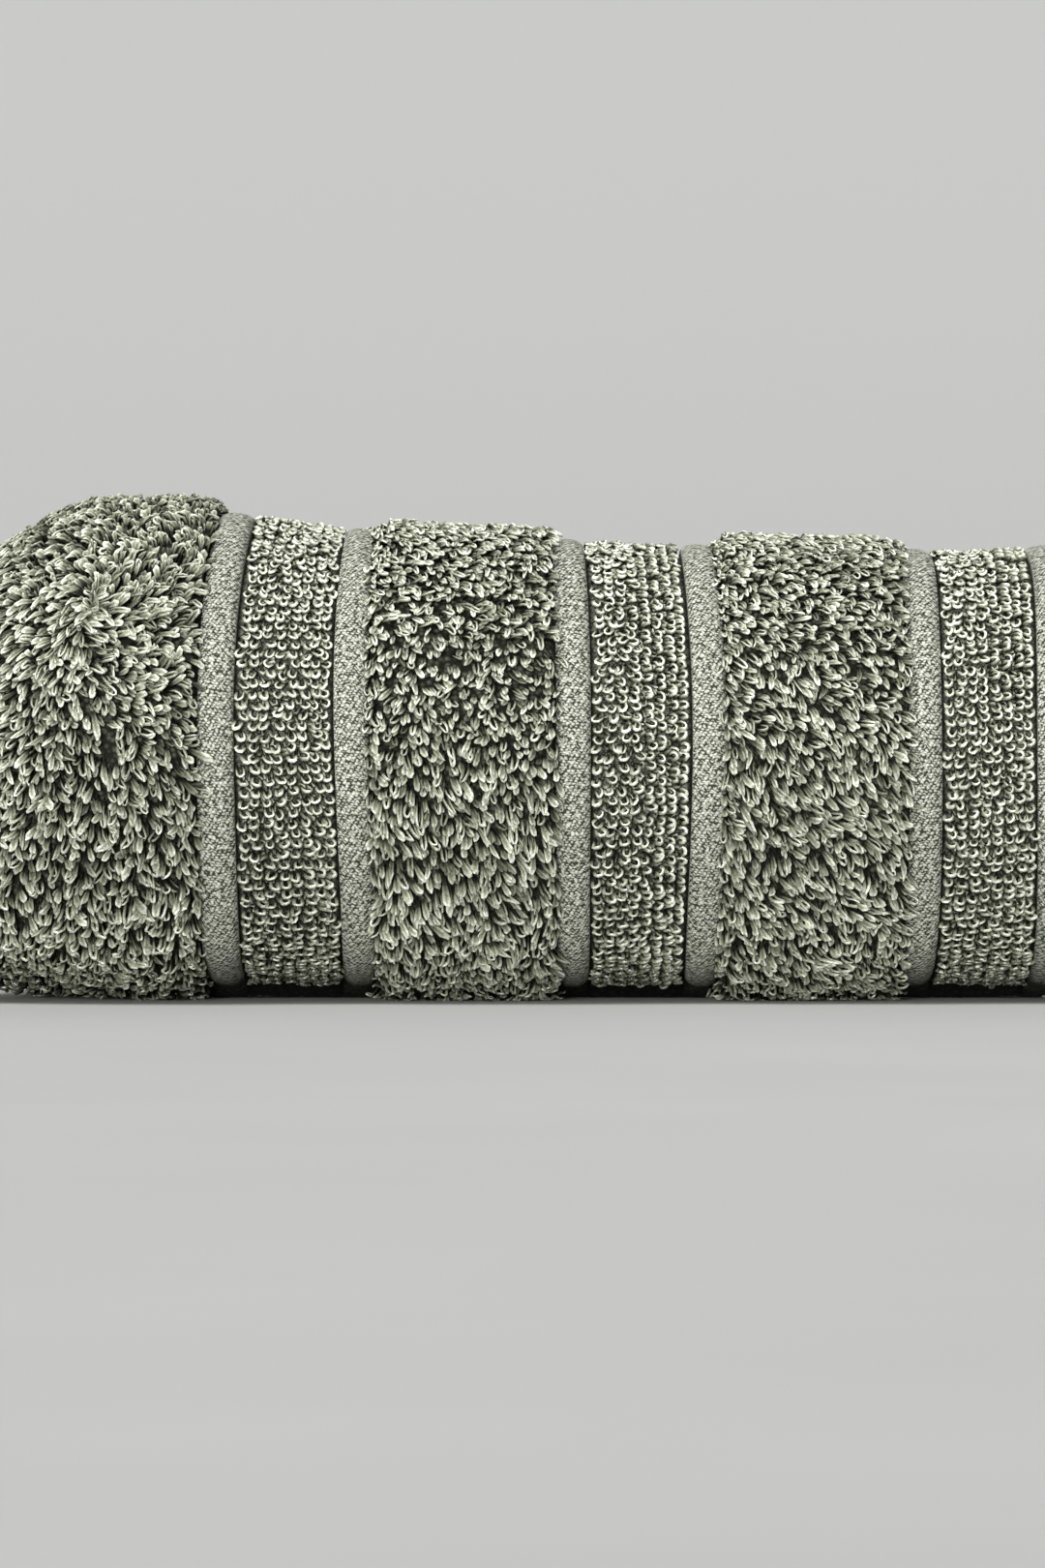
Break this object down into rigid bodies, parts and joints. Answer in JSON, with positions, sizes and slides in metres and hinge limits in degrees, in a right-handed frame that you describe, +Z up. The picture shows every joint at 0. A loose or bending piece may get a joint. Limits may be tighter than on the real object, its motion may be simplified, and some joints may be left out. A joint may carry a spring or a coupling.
{
  "type": "rolled hand towel",
  "caption": "Terry hand towel folded lengthwise and rolled up, lying on its side, with bands of high pile, low pile and flat woven ribs running round the roll.",
  "frame": {"origin": "on the surface that the roll lies on, under the middle of its bounding box", "axes": "+X along the roll from the left end in the picture to the right end, +Z up, -Y towards the viewer"},
  "size_m": [0.236, 0.0906, 0.0877],
  "materials": {
    "terry": "sage green looped cotton terry with flat woven ribs"
  },
  "bodies": {
    "root": {"rolled_towel": "terry"}
  },
  "joints": []
}
